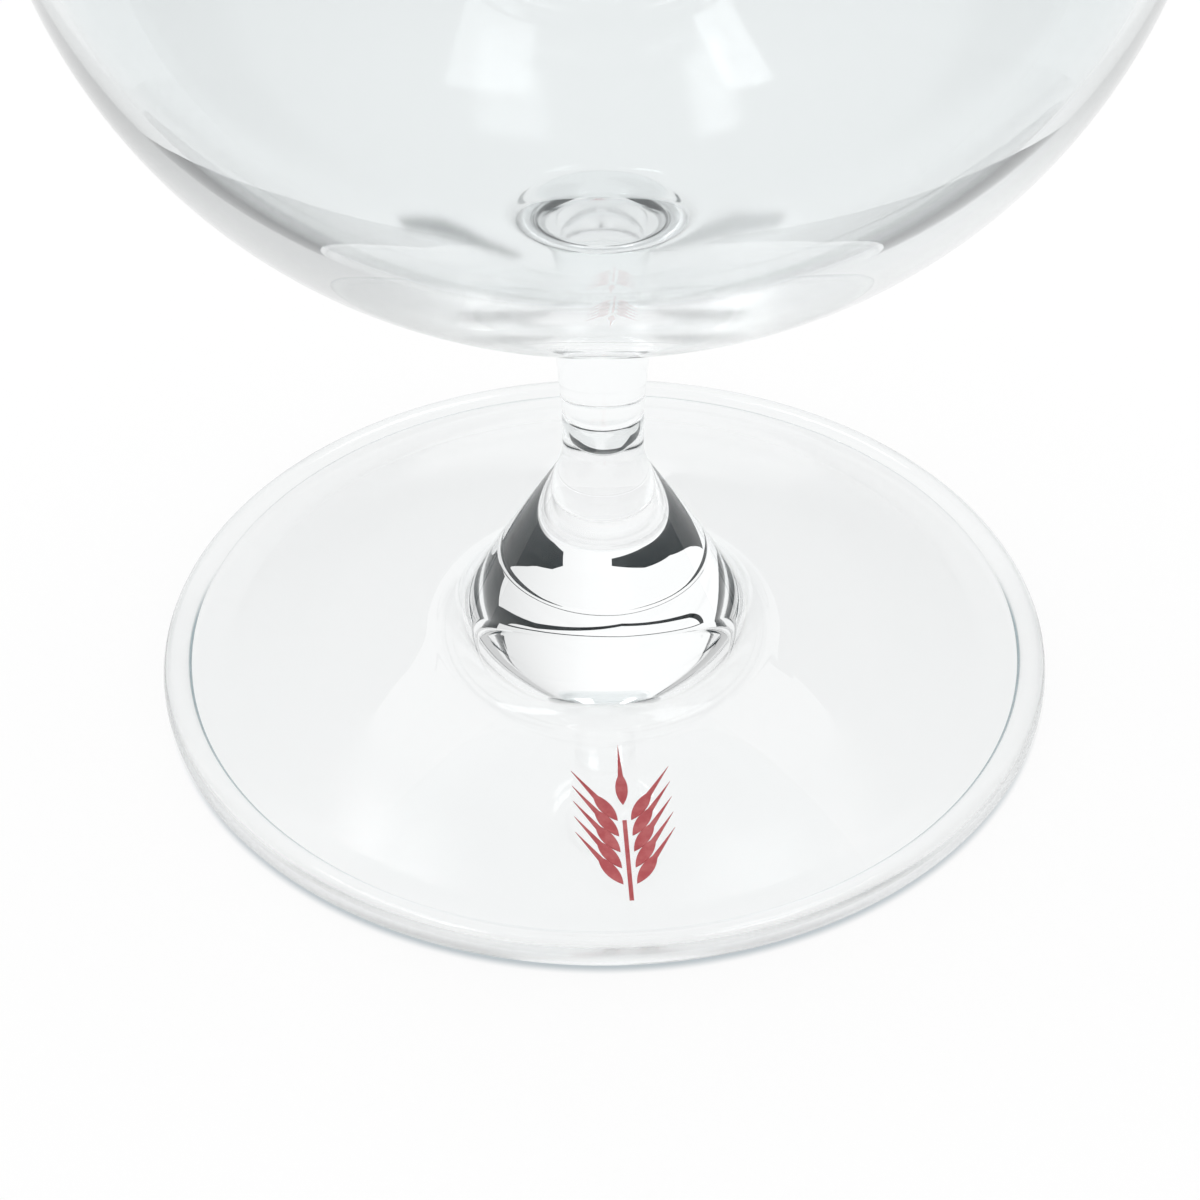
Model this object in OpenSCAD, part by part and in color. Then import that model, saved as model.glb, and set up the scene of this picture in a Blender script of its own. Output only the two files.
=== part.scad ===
// Lidded tasting glass: a blown bowl on a short flared stem and a wide thin foot,
// closed by a loose pressed lid with a ball knob.
// Millimetres, +Z up, origin at the middle of the face that the foot stands on.
// Every glass piece is a body of revolution about Z, so each is drawn as a half outline:
// x is the radius and y is the height.

/* [Foot] */
// Outside diameter of the foot
foot_d = 65; // [60:0.5:80]
// Thickness of the foot's rounded edge
foot_edge_t = 2.2; // [1.6:0.1:3.2]
// How far the rounded edge stands up above the foot's face
foot_bead_h = 0.7; // [0.3:0.05:0.8]
// Rise of the foot's upper face towards the hub, in degrees
foot_slope = 5; // [2:0.5:7]
// Depth of the domed hollow under the foot
foot_hollow_h = 2.4; // [1:0.1:2.8]
// Width of the flat ring that the foot stands on
rest_ring_w = 3.4; // [2:0.2:6]
// Height of the hub's top, where the stem is welded on
hub_h = 9.4; // [8:0.2:12]
// Radius of the blend between the hub and the foot's upper face
hub_blend_r = 4; // [1.5:0.5:5]

/* [Stem] */
// Diameter of the stem at its thinnest, where the bowl's neck is welded on
stem_d = 5.7; // [5:0.1:9]
// Length of the stem between its two welds
stem_l = 12.2; // [9:0.2:20]
// Length of the straight stretch under the upper weld
stem_straight_l = 2.9; // [1.5:0.1:4]
// Half angle of the flare that runs down into the hub, in degrees
flare_angle = 31; // [22:0.5:34]
// Radius of the blend between the straight stretch and the flare
flare_blend_r = 5.5; // [3:0.5:7]

/* [Bowl] */
// Length of the drawn neck, from the upper weld to the bowl's lowest point
neck_l = 12.3; // [10:0.1:18]
// Widening of the drawn neck on each side, in degrees
neck_taper = 4.7; // [2:0.1:7]
// Radius of the blend between the neck and the underside of the bowl
neck_blend_r = 4; // [2.5:0.5:6]
// Outside diameter of the bowl at its widest
belly_d = 70.4; // [68:0.2:84]
// Radius of the round underside, from the bowl's lowest point up to its widest
belly_arc_r = 32.8; // [28:0.2:33]
// Height of the bowl from its widest up to the rim
upper_h = 53.3; // [40:0.1:64]
// Radius of the tapering upper wall
upper_arc_r = 132; // [110:1:200]
// Thickness of the bowl's wall
wall_t = 1.2; // [0.9:0.1:2]
// Thickness of the glass at the bottom of the bowl
bowl_bottom_t = 3.1; // [2:0.1:5]

/* [Lid] */
// How far the lid's plate reaches past the rim
lid_overhang = 4; // [2:0.5:8]
// Thickness of the lid's plate at its rounded edge
lid_edge_t = 3; // [2:0.1:4]
// Rise of the lid's domed upper face above its edge
lid_dome_h = 2.4; // [1.2:0.1:5]
// Depth of the ring under the lid that keeps it in the mouth
lid_ring_h = 4; // [2.5:0.1:7]
// Thickness of that ring
lid_ring_w = 2.2; // [1.6:0.1:3]
// Diameter of the knob's ball
knob_d = 15; // [11:0.5:20]
// Clear height between the lid's pad and the ball
knob_stand_h = 2.5; // [1.5:0.1:3]
// Radius of the hollow neck under the ball
knob_neck_r = 2.5; // [2:0.1:3.5]
// Thickness of the small disc that the knob stands on
knob_disc_t = 0.6; // [0.4:0.1:1.2]

/* [Print] */
// Thickness of the fired enamel
enamel_t = 0.08; // [0.05:0.01:0.15]
// Pairs of grains on the printed ear of barley
grain_pairs = 5; // [3:1:7]
// Length of one grain
grain_l = 2.9; // [2:0.1:3.2]
// Width of one grain
grain_w = 0.85; // [0.6:0.05:1.1]
// Length of the fine awn at the tip of each grain
awn_l = 2.6; // [1.5:0.1:3]
// Lean of the grains away from the stalk, in degrees
grain_lean = 32; // [20:1:40]
// Thickness of the stalk and of the root of each awn
line_w = 0.3; // [0.2:0.02:0.4]
// Bare stretch of the foot between the hub's blend and the tip of the print
print_hub_gap = 1; // [0.5:0.1:3]
// Bare stretch of the foot between the stalk's end and the rounded edge
print_edge_gap = 2.5; // [1:0.1:5]

/* [Fits] */
// Gap all round between the lid's ring and the mouth
lid_ring_gap = 0.8; // [0.4:0.1:1.5]
// Gap between the rim and the lid's underside
lid_seat_gap = 0.1; // [0.05:0.01:0.3]

/* [Hidden] */
$fn = 256;
glass = [0.86, 0.92, 0.93, 0.35];
enamel = [0.62, 0.16, 0.18];

// Foot
foot_edge_r = foot_edge_t / 2;
foot_edge_mid = [foot_d / 2 - foot_edge_r, foot_edge_r];
hollow_rim_r = foot_edge_mid.x - rest_ring_w;
hollow_arc_r = (hollow_rim_r ^ 2 + foot_hollow_h ^ 2) / (2 * foot_hollow_h);
face_up = [sin(foot_slope), cos(foot_slope)];
face_out = [cos(foot_slope), -sin(foot_slope)];
face_lift = foot_edge_r - foot_bead_h;
face_end = foot_edge_mid + face_lift * face_up - sqrt(foot_edge_r ^ 2 - face_lift ^ 2) * face_out;
function face_z(r) = face_end.y + (face_end.x - r) * tan(foot_slope);

// Stem
stem_r = stem_d / 2;
upper_weld_z = hub_h + stem_l;
flare_out = [cos(flare_angle), sin(flare_angle)];
flare_blend_mid = [stem_r + flare_blend_r, upper_weld_z - stem_straight_l];
flare_start = flare_blend_mid - flare_blend_r * flare_out;
hub_r = flare_start.x + (flare_start.y - hub_h) * tan(flare_angle);

// Hub: the flare goes on below the weld until it meets the foot's upper face
hub_foot_z = (face_z(hub_r) - hub_h * tan(flare_angle) * tan(foot_slope))
    / (1 - tan(flare_angle) * tan(foot_slope));
hub_foot = [hub_r + (hub_h - hub_foot_z) * tan(flare_angle), hub_foot_z];
hub_blend_mid = hub_foot + hub_blend_r * (flare_out + face_up) / (1 + flare_out * face_up);
hub_blend_top = hub_blend_mid - hub_blend_r * flare_out;
hub_blend_foot = hub_blend_mid - hub_blend_r * face_up;

// Bowl
belly_r = belly_d / 2;
belly_mid = [belly_r - belly_arc_r, upper_weld_z + neck_l + belly_arc_r];
cavity_arc_r = belly_arc_r - bowl_bottom_t;
cavity_mid = [belly_r - wall_t - cavity_arc_r, belly_mid.y];
upper_mid = [belly_r - upper_arc_r, belly_mid.y];
rim_r = wall_t / 2;
rim_arc_r = upper_arc_r - rim_r;
rim_angle = asin((upper_h - rim_r) / rim_arc_r);
rim_mid = upper_mid + rim_arc_r * [cos(rim_angle), sin(rim_angle)];
rim_z = rim_mid.y + rim_r;
mouth_r = rim_mid.x - rim_r;

// Drawn neck: a round blend that touches both the tapered neck and the belly
neck_up = [sin(neck_taper), cos(neck_taper)];
neck_out = [cos(neck_taper), -sin(neck_taper)];
neck_offset = [stem_r, upper_weld_z] + neck_blend_r * neck_out - belly_mid;
neck_along = neck_offset * neck_up;
neck_run = -neck_along
    - sqrt(neck_along ^ 2 - neck_offset * neck_offset + (belly_arc_r + neck_blend_r) ^ 2);
neck_blend_mid = belly_mid + neck_offset + neck_run * neck_up;
neck_blend_low = neck_blend_mid - neck_blend_r * neck_out;
neck_blend_top = belly_mid + (neck_blend_mid - belly_mid) * belly_arc_r / (belly_arc_r + neck_blend_r);

// Lid
lid_z = rim_z + lid_seat_gap;
lid_edge_r = lid_edge_t / 2;
lid_edge_mid = [rim_mid.x + rim_r + lid_overhang - lid_edge_r, lid_z + lid_edge_r];
lid_top_z = lid_z + lid_edge_t;
dome_arc_r = (lid_edge_mid.x ^ 2 + lid_dome_h ^ 2) / (2 * lid_dome_h);
dome_mid_z = lid_top_z + lid_dome_h - dome_arc_r;
lid_ring_r = mouth_r - lid_ring_gap;
ball_r = knob_d / 2;
ball_rise = knob_disc_t + knob_stand_h + ball_r;
knob_disc_r = sqrt((ball_r + knob_neck_r) ^ 2 - (knob_stand_h + ball_r - knob_neck_r) ^ 2);
pad_z = dome_mid_z + sqrt(dome_arc_r ^ 2 - knob_disc_r ^ 2);

// Print
print_tip_r = hub_blend_foot.x + print_hub_gap;
print_end_r = face_end.x - print_edge_gap;
grain_step = (print_end_r - print_tip_r - grain_l - awn_l) / (grain_pairs + 1);
grain_root = 1.5 * line_w;

// Turns a half outline about Z
module turned() {
    rotate_extrude() children();
}

// A round of the half outline, at a point of it
module round_at(mid, r) {
    translate(mid) circle(r);
}

// Keeps what lies between two heights, out to a radius
module band(low_z, high_z, r) {
    translate([0, low_z]) square([r, high_z - low_z]);
}

// A wedge from a point, from level up to an angle
module wedge(tip, angle, reach) {
    far = reach / cos(angle / 2);
    polygon([
        tip, tip + [far, 0],
        tip + far * [cos(angle / 2), sin(angle / 2)],
        tip + far * [cos(angle), sin(angle)]
    ]);
}

module foot_outline() {
    difference() {
        union() {
            polygon([
                [0, 0], [foot_edge_mid.x, 0], foot_edge_mid, face_end,
                hub_blend_foot, hub_blend_mid, hub_blend_top, [hub_r, hub_h], [0, hub_h]
            ]);
            round_at(foot_edge_mid, foot_edge_r);
        }
        round_at(hub_blend_mid, hub_blend_r);
        round_at([0, foot_hollow_h - hollow_arc_r], hollow_arc_r);
    }
}

module foot() {
    color(glass) turned() foot_outline();
}

module stem_outline() {
    difference() {
        polygon([
            [0, hub_h], [hub_r, hub_h], flare_start, flare_blend_mid,
            [stem_r, flare_blend_mid.y], [stem_r, upper_weld_z], [0, upper_weld_z]
        ]);
        round_at(flare_blend_mid, flare_blend_r);
    }
}

module stem() {
    color(glass) turned() stem_outline();
}

// The drawn neck under the bowl, up into the thick glass of its bottom
module neck_outline() {
    difference() {
        polygon([
            [0, upper_weld_z], [stem_r, upper_weld_z], neck_blend_low, neck_blend_mid,
            neck_blend_top, [0, neck_blend_top.y]
        ]);
        round_at(neck_blend_mid, neck_blend_r);
    }
}

module belly_outline() {
    difference() {
        intersection() {
            round_at(belly_mid, belly_arc_r);
            band(belly_mid.y - belly_arc_r, belly_mid.y, belly_r);
        }
        round_at(cavity_mid, cavity_arc_r);
        band(cavity_mid.y - cavity_arc_r, cavity_mid.y, cavity_mid.x);
    }
}

module upper_wall_outline() {
    intersection() {
        difference() {
            round_at(upper_mid, upper_arc_r);
            round_at(upper_mid, upper_arc_r - wall_t);
        }
        wedge(upper_mid, rim_angle, 2 * upper_arc_r);
    }
    round_at(rim_mid, rim_r);
}

module bowl() {
    color(glass) turned() {
        neck_outline();
        belly_outline();
        upper_wall_outline();
    }
}

module lid_ring_outline() {
    round_r = lid_ring_w / 2;
    low_z = lid_z - lid_ring_h + round_r;
    translate([lid_ring_r - lid_ring_w, low_z]) square([lid_ring_w, lid_z - low_z]);
    round_at([lid_ring_r - round_r, low_z], round_r);
}

module lid_plate() {
    color(glass) turned() {
        band(lid_z, lid_top_z, lid_edge_mid.x);
        round_at(lid_edge_mid, lid_edge_r);
        intersection() {
            round_at([0, dome_mid_z], dome_arc_r);
            band(lid_top_z, pad_z, lid_edge_mid.x);
        }
        lid_ring_outline();
    }
}

module lid_knob() {
    neck_mid = [knob_disc_r, pad_z + knob_disc_t + knob_neck_r];
    ball_mid = [0, pad_z + ball_rise];
    touch = ball_mid + (neck_mid - ball_mid) * ball_r / (ball_r + knob_neck_r);
    color(glass) turned() {
        band(pad_z, pad_z + knob_disc_t, knob_disc_r);
        difference() {
            polygon([
                [0, pad_z + knob_disc_t], [knob_disc_r, pad_z + knob_disc_t], neck_mid, touch, [0, touch.y]
            ]);
            round_at(neck_mid, knob_neck_r);
        }
        intersection() {
            round_at(ball_mid, ball_r);
            band(touch.y, ball_mid.y + ball_r, ball_r);
        }
    }
}

// One grain, pointing along +Y from its root, with the fine awn at its tip
module grain() {
    side_r = (grain_l ^ 2 + grain_w ^ 2) / (4 * grain_w);
    intersection() {
        round_at([side_r - grain_w / 2, grain_l / 2], side_r);
        round_at([grain_w / 2 - side_r, grain_l / 2], side_r);
    }
    polygon([[-line_w / 2, grain_l - line_w], [line_w / 2, grain_l - line_w], [0, grain_l + awn_l]]);
}

// Ear of barley that points along +Y from its stalk's root
module ear() {
    translate([-line_w / 2, 0]) square([line_w, grain_step * grain_pairs]);
    for (i = [1 : grain_pairs], side = [-1, 1])
        translate([side * grain_root, grain_step * i]) rotate(-side * grain_lean) grain();
    translate([0, grain_step * (grain_pairs + 1)]) grain();
}

// Enamel on the foot's upper face, at the front, with the ear's tip towards the hub
module foot_print() {
    color(enamel) intersection() {
        translate([0, -print_end_r, 0]) linear_extrude(hub_h) ear();
        turned() polygon([hub_foot, face_end, face_end + [0, enamel_t], hub_foot + [0, enamel_t]]);
    }
}

foot();
stem();
bowl();
foot_print();
lid_plate();
lid_knob();
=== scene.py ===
"""Looks of a lidded tasting glass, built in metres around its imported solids.

Sizes are in millimetres and angles in degrees where a class doesn't say otherwise.
"""

import logging
from dataclasses import dataclass, field
from enum import Enum
from math import acos, asin, atan2, cos, degrees, dist, hypot, pi, radians, sin, sqrt, tan

import bmesh
import bpy
from mathutils import Euler, Matrix, Vector

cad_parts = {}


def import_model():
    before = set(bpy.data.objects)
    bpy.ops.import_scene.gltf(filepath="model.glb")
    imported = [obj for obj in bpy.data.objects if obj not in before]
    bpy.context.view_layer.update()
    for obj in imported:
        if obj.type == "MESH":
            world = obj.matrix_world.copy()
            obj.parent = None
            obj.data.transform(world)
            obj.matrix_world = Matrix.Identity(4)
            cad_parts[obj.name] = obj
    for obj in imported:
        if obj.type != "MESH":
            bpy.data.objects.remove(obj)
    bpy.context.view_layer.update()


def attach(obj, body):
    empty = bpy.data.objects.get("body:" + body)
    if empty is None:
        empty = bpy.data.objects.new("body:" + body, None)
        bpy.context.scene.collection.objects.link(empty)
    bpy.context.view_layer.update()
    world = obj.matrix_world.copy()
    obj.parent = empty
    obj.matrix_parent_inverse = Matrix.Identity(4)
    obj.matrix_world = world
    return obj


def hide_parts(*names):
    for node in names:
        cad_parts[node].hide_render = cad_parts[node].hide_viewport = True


LOG = logging.getLogger("tasting_glass")
MM = 0.001

# Distances under which a point lies on the axis, and under which two points are one
ON_AXIS = 1e-6
SAME_POINT = 1e-5

Point = tuple[float, float]
Place = tuple[float, float, float]
Colour = tuple[float, float, float, float]
Socket = bpy.types.NodeSocket
Material = bpy.types.Material

WHITE: Colour = (1.0, 1.0, 1.0, 1.0)


class Face(Enum):
    """Which finish a stretch of an outline takes: the order is that of the material slots."""

    FIRED = 0
    WELD = 1


class Body(Enum):
    """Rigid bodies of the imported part."""

    GLASS = "glass"
    LID = "lid"


class Slot(Enum):
    """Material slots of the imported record."""

    CLEAR_GLASS = "clear_glass"
    LID_GLASS = "lid_glass"
    RED_ENAMEL = "red_enamel"


def linked(name: str, data: bpy.types.ID) -> bpy.types.Object:
    """Makes an object and links it into the scene.

    Args:
        name: Name of the object.
        data: Its mesh, lamp or camera.

    Returns:
        The object.
    """
    new = bpy.data.objects.new(name, data)
    bpy.context.scene.collection.objects.link(new)
    return new


@dataclass
class Outline:
    """Half outline of a turned piece, drawn with the glass on its left hand."""

    points: list[Point] = field(default_factory=list)
    faces: list[Face] = field(default_factory=list)

    def start(self, radius: float, height: float) -> "Outline":
        """Sets the first point and gives the outline itself."""
        self.points = [(radius, height)]
        return self

    def line(self, end: Point, steps: int = 1, face: Face = Face.FIRED) -> None:
        """Draws a straight stretch to a point.

        Args:
            end: Radius and height of its end.
            steps: How many rows of faces it takes.
            face: Finish of the stretch.
        """
        r0, z0 = self.points[-1]
        for i in range(1, steps + 1):
            t = i / steps
            self.points.append((r0 + (end[0] - r0) * t, z0 + (end[1] - z0) * t))
            self.faces.append(face)

    def arc(self, mid: Point, radius: float, first: float, last: float, steps: int) -> None:
        """Draws a round stretch.

        Args:
            mid: Radius and height of its centre.
            radius: Radius of the round.
            first: Angle of its start from straight outwards.
            last: Angle of its end.
            steps: How many rows of faces it takes.
        """
        for i in range(steps + 1):
            a = radians(first + (last - first) * i / steps)
            point = (mid[0] + radius * cos(a), mid[1] + radius * sin(a))
            if dist(point, self.points[-1]) > SAME_POINT:
                self.points.append(point)
                self.faces.append(Face.FIRED)

    def turned(self, name: str, columns: int) -> bpy.types.Object:
        """Turns the outline about the Z axis into a closed mesh.

        Args:
            name: Name of the new object.
            columns: How many faces go round.

        Returns:
            The object, linked into the scene.
        """
        rings: list[list[int]] = []
        verts: list[Place] = []
        for radius, height in self.points:
            if radius < ON_AXIS:
                rings.append([len(verts)] * columns)
                verts.append((0.0, 0.0, height * MM))
                continue
            rings.append(list(range(len(verts), len(verts) + columns)))
            for c in range(columns):
                a = 2 * pi * c / columns
                verts.append((radius * MM * cos(a), radius * MM * sin(a), height * MM))
        corners: list[list[int]] = []
        slots: list[int] = []
        for face, low, high in zip(self.faces, rings, rings[1:]):
            for c in range(columns):
                d = (c + 1) % columns
                corners.append(list(dict.fromkeys((low[c], low[d], high[d], high[c]))))
                slots.append(face.value)
        mesh = bpy.data.meshes.new(name)
        mesh.from_pydata(verts, [], corners)
        for polygon, slot in zip(mesh.polygons, slots):
            polygon.use_smooth = True
            polygon.material_index = slot
        self.break_edges(mesh, rings)
        return linked(name, mesh)

    def break_edges(self, mesh: bpy.types.Mesh, rings: list[list[int]]) -> None:
        """Marks the rings where the finish changes as sharp.

        Args:
            mesh: The turned mesh.
            rings: Vertices of each ring.
        """
        sharp: set[int] = set()
        for i in range(1, len(self.faces)):
            if self.faces[i] is not self.faces[i - 1]:
                sharp.update(rings[i])
        for edge in mesh.edges:
            edge.use_edge_sharp = sharp.issuperset(edge.vertices)


@dataclass(frozen=True)
class Shared:
    """Sizes that more than one piece is made to."""

    hub_h: float = 9.4
    stem_r: float = 2.85
    stem_l: float = 12.2
    flare_angle: float = 31.0
    flare_blend_r: float = 5.5
    stem_straight_l: float = 2.9
    weld_groove: float = 0.05
    weld_round: float = 0.12

    @property
    def weld_z(self) -> float:
        """Height of the weld between the stem and the bowl."""
        return self.hub_h + self.stem_l

    @property
    def flare_mid(self) -> Point:
        """Centre of the blend at the top of the flare."""
        return (self.stem_r + self.flare_blend_r, self.weld_z - self.stem_straight_l)

    @property
    def flare_out(self) -> Point:
        """Outward direction of the flare's surface."""
        a = radians(self.flare_angle)
        return (cos(a), sin(a))

    @property
    def flare_start(self) -> Point:
        """Point where the blend runs into the straight flare."""
        mid, out, blend = self.flare_mid, self.flare_out, self.flare_blend_r
        return (mid[0] - blend * out[0], mid[1] - blend * out[1])

    @property
    def flare_spread(self) -> float:
        """How far the flare widens for each millimetre down."""
        return tan(radians(self.flare_angle))

    @property
    def hub_r(self) -> float:
        """Radius of the weld between the stem and the hub."""
        return self.flare_start[0] + (self.flare_start[1] - self.hub_h) * self.flare_spread


class NodeGraph:
    """Short way to write the nodes of one tree."""

    def __init__(self, tree: bpy.types.NodeTree) -> None:
        """Takes over a tree and empties it."""
        self.tree = tree
        tree.nodes.clear()

    def add(self, kind: str, inputs: dict[str, object] | None = None, **settings: object) -> bpy.types.Node:
        """Adds a node, sets its properties and feeds its inputs.

        Args:
            kind: Blender's name of the node type.
            inputs: Sockets or plain values for its inputs, by name.
            settings: Properties of the node, by name.

        Returns:
            The node.
        """
        node = self.tree.nodes.new(kind)
        for name, value in settings.items():
            setattr(node, name, value)
        self.fill(node, inputs or {})
        return node

    def feed(self, socket: Socket, value: object) -> None:
        """Links a socket to another, or sets a plain value on it.

        Args:
            socket: The socket to feed.
            value: The other socket, or the value.
        """
        if isinstance(value, Socket):
            self.tree.links.new(value, socket)
        else:
            socket.default_value = value

    def fill(self, node: bpy.types.Node, values: dict[str, object]) -> None:
        """Feeds a node's inputs by their names."""
        for name, value in values.items():
            self.feed(node.inputs[name], value)

    def operate(self, kind: str, operation: str, values: tuple[object, ...]) -> bpy.types.NodeOutputs:
        """Adds a node that works something out.

        Args:
            kind: Blender's name of the node type.
            operation: Name of the operation.
            values: Its inputs, each a socket or a plain value.

        Returns:
            The outputs of the node.
        """
        node = self.add(kind, operation=operation)
        for socket, value in zip(node.inputs, values):
            self.feed(socket, value)
        return node.outputs

    def math(self, operation: str, *values: object) -> Socket:
        """Gives the socket of an operation's result on numbers."""
        return self.operate("ShaderNodeMath", operation, values)[0]

    def vector(self, operation: str, *values: object) -> bpy.types.NodeOutputs:
        """Gives the outputs of an operation on vectors."""
        return self.operate("ShaderNodeVectorMath", operation, values)

    def place(self) -> Socket:
        """Gives the socket of the place on the object, in its own coordinates."""
        return self.add("ShaderNodeTexCoord").outputs["Object"]

    def split(self, vector: Socket) -> bpy.types.NodeOutputs:
        """Gives the sockets of a vector's X, Y and Z."""
        return self.add("ShaderNodeSeparateXYZ", {"Vector": vector}).outputs

    def ramp(self, value: Socket, low: float, high: float, to_low: float = 0.0,
             to_high: float = 1.0) -> Socket:
        """Maps a value smoothly from one range to another.

        Args:
            value: Socket to map.
            low: Value that becomes to_low.
            high: Value that becomes to_high.
            to_low: Result at and under low.
            to_high: Result at and over high.

        Returns:
            The result's socket.
        """
        node = self.add("ShaderNodeMapRange", interpolation_type="SMOOTHSTEP")
        for socket, number in zip(node.inputs[:5], (value, low, high, to_low, to_high)):
            self.feed(socket, number)
        return node.outputs[0]

    def band(self, value: Socket, rise: Point, fall: Point) -> Socket:
        """Gives a socket that rises smoothly from 0 to 1 over one span and falls back over another."""
        return self.math("MULTIPLY", self.ramp(value, *rise), self.ramp(value, *fall, 1.0, 0.0))

    def mix(self, factor: object, first: object, second: object) -> Socket:
        """Mixes two colours.

        Args:
            factor: Share of the second, a socket or a number.
            first: Colour at 0.
            second: Colour at 1.

        Returns:
            The mixed colour's socket.
        """
        node = self.add("ShaderNodeMix", data_type="RGBA")
        # The sockets for colours go by number, as those for numbers and vectors have the same names
        for index, value in ((0, factor), (6, first), (7, second)):
            self.feed(node.inputs[index], value)
        return node.outputs[2]

    def noise(self, vector: Socket, scale: float, detail: float, rough: float) -> Socket:
        """Gives the socket of a noise, with its scale in features per metre."""
        inputs = {"Vector": vector, "Scale": scale, "Detail": detail, "Roughness": rough}
        return self.add("ShaderNodeTexNoise", inputs).outputs[0]

    def bump(self, strength: float, depth: float, height: Socket) -> Socket:
        """Gives the socket of a normal that is bumped by a height, with its depth in metres."""
        inputs = {"Strength": strength, "Distance": depth, "Height": height}
        return self.add("ShaderNodeBump", inputs).outputs[0]

    def glass_ray(self, path: bpy.types.NodeOutputs) -> Socket:
        """Gives a socket that is 1 for light seen by way of the glass, from a Light Path's outputs."""
        return self.math("MAXIMUM", path["Is Glossy Ray"], path["Is Transmission Ray"])


def new_material(name: str) -> tuple[Material, NodeGraph, bpy.types.Node]:
    """Makes a material with one Principled shader.

    Args:
        name: Name of the material.

    Returns:
        The material, its nodes and the shader.
    """
    material = bpy.data.materials.new(name)
    material.use_nodes = True
    graph = NodeGraph(material.node_tree)
    shader = graph.add("ShaderNodeBsdfPrincipled")
    graph.add("ShaderNodeOutputMaterial", {"Surface": shader.outputs[0]})
    return material, graph, shader


def handled_glass_group() -> bpy.types.NodeTree:
    """Makes the node group for glass that was shaped hot and then handled.

    Returns:
        The group, with outputs for roughness and for bump height.
    """
    group = bpy.data.node_groups.new("handled_glass", "ShaderNodeTree")
    for name in ("Polish", "Smear", "Wave", "Draw"):
        group.interface.new_socket(name, in_out="INPUT", socket_type="NodeSocketFloat")
    for name in ("Roughness", "Height"):
        group.interface.new_socket(name, in_out="OUTPUT", socket_type="NodeSocketFloat")
    graph = NodeGraph(group)
    given = graph.add("NodeGroupInput").outputs
    place = graph.place()
    stretch = graph.add("ShaderNodeCombineXYZ", {"X": 1.0, "Y": 1.0, "Z": given["Draw"]})
    drawn = graph.vector("MULTIPLY", place, stretch.outputs[0])["Vector"]
    smears = graph.ramp(graph.noise(place, scale=130.0, detail=3.0, rough=0.6), low=0.52, high=0.75)
    rough = graph.math("MULTIPLY_ADD", smears, given["Smear"], given["Polish"])
    waves = graph.noise(drawn, scale=55.0, detail=1.0, rough=0.4)
    height = graph.math("MULTIPLY", waves, given["Wave"])
    graph.add("NodeGroupOutput", {"Roughness": rough, "Height": height})
    return group


@dataclass(frozen=True)
class GlassFinish:
    """Clear glass with a fired surface.

    The edge and the crease are coloured darker as painted shade: their spans say how far the surface is
    turned away where that shade starts and where it is full. The haze fades out upwards between the
    heights of haze_span, and low_tint goes on by low_rise above them. The crease's painted shade is a
    dark ring between two radii. A draw under 1 stretches the waves upwards.
    """

    name: str
    tint: Colour = (0.982, 0.995, 0.996, 1.0)
    painted_edge_shade: Colour = (0.915, 0.95, 0.957, 1.0)
    edge_shade_span: Point = (0.3, 0.9)
    low_tint: Colour | None = None
    low_rise: float = 10.0
    haze_span: Point | None = None
    haze: float = 0.0
    crease: Point | None = None
    painted_crease_shade: Colour = (0.18, 0.26, 0.29, 1.0)
    crease_span: Point = (0.36, 0.5)
    crease_soft: float = 0.06
    ior: float = 1.5
    polish: float = 0.0
    smear: float = 0.02
    wave: float = 1.0
    wave_depth: float = 0.01
    draw: float = 0.15

    def made(self, group: bpy.types.NodeTree) -> Material:
        """Makes the material.

        Args:
            group: The handled glass group.

        Returns:
            The material.
        """
        material, graph, shader = new_material(self.name)
        handling = {"Polish": self.polish, "Smear": self.smear, "Wave": self.wave, "Draw": self.draw}
        surface = graph.add("ShaderNodeGroup", handling, node_tree=group).outputs
        facing = graph.add("ShaderNodeLayerWeight", {"Blend": 0.5}).outputs["Facing"]
        # Painted shade: the glass is coloured darker at its edges, where the surface turns away from the
        # view
        colour = graph.mix(graph.ramp(facing, *self.edge_shade_span), self.tint, self.painted_edge_shade)
        rough = surface["Roughness"]
        if self.haze_span:
            low, high = (height * MM for height in self.haze_span)
            height = graph.split(graph.place())[2]
            rough = graph.math("ADD", rough, graph.ramp(height, low, high, self.haze, 0.0))
            if self.low_tint:
                above = graph.ramp(height, low, high + self.low_rise * MM)
                colour = graph.mix(above, self.low_tint, colour)
        # Painted shade: the crease is coloured dark in a ring where it turns away from the view
        if self.crease:
            steep = graph.ramp(facing, *self.crease_span)
            colour = graph.mix(graph.math("MULTIPLY", steep, self.ring(graph)), colour, self.painted_crease_shade)
        normal = graph.bump(1.0, self.wave_depth * MM, surface["Height"])
        graph.fill(shader, {"Base Color": colour, "Roughness": rough, "IOR": self.ior,
                            "Transmission Weight": 1.0, "Normal": normal})
        return material

    def ring(self, graph: NodeGraph) -> Socket:
        """Masks the narrow ring where the crease runs round the piece and its shade is painted.

        Args:
            graph: Nodes of the material.

        Returns:
            The mask's socket.
        """
        inner, outer = (radius * MM for radius in self.crease)
        soft = self.crease_soft * MM
        flat = graph.vector("MULTIPLY", graph.place(), (1.0, 1.0, 0.0))["Vector"]
        radius = graph.vector("LENGTH", flat)["Value"]
        return graph.band(radius, (inner - soft, inner + soft), (outer - soft, outer + soft))


@dataclass(frozen=True)
class WeldFinish:
    """Inside of a weld, where the two glasses are one and nothing shows."""

    name: str = "weld_inside"

    def made(self) -> Material:
        """Makes the material, which light passes straight through.

        Returns:
            The material.
        """
        material, graph, shader = new_material(self.name)
        graph.fill(shader, {"Alpha": 0.0})
        return material


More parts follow.
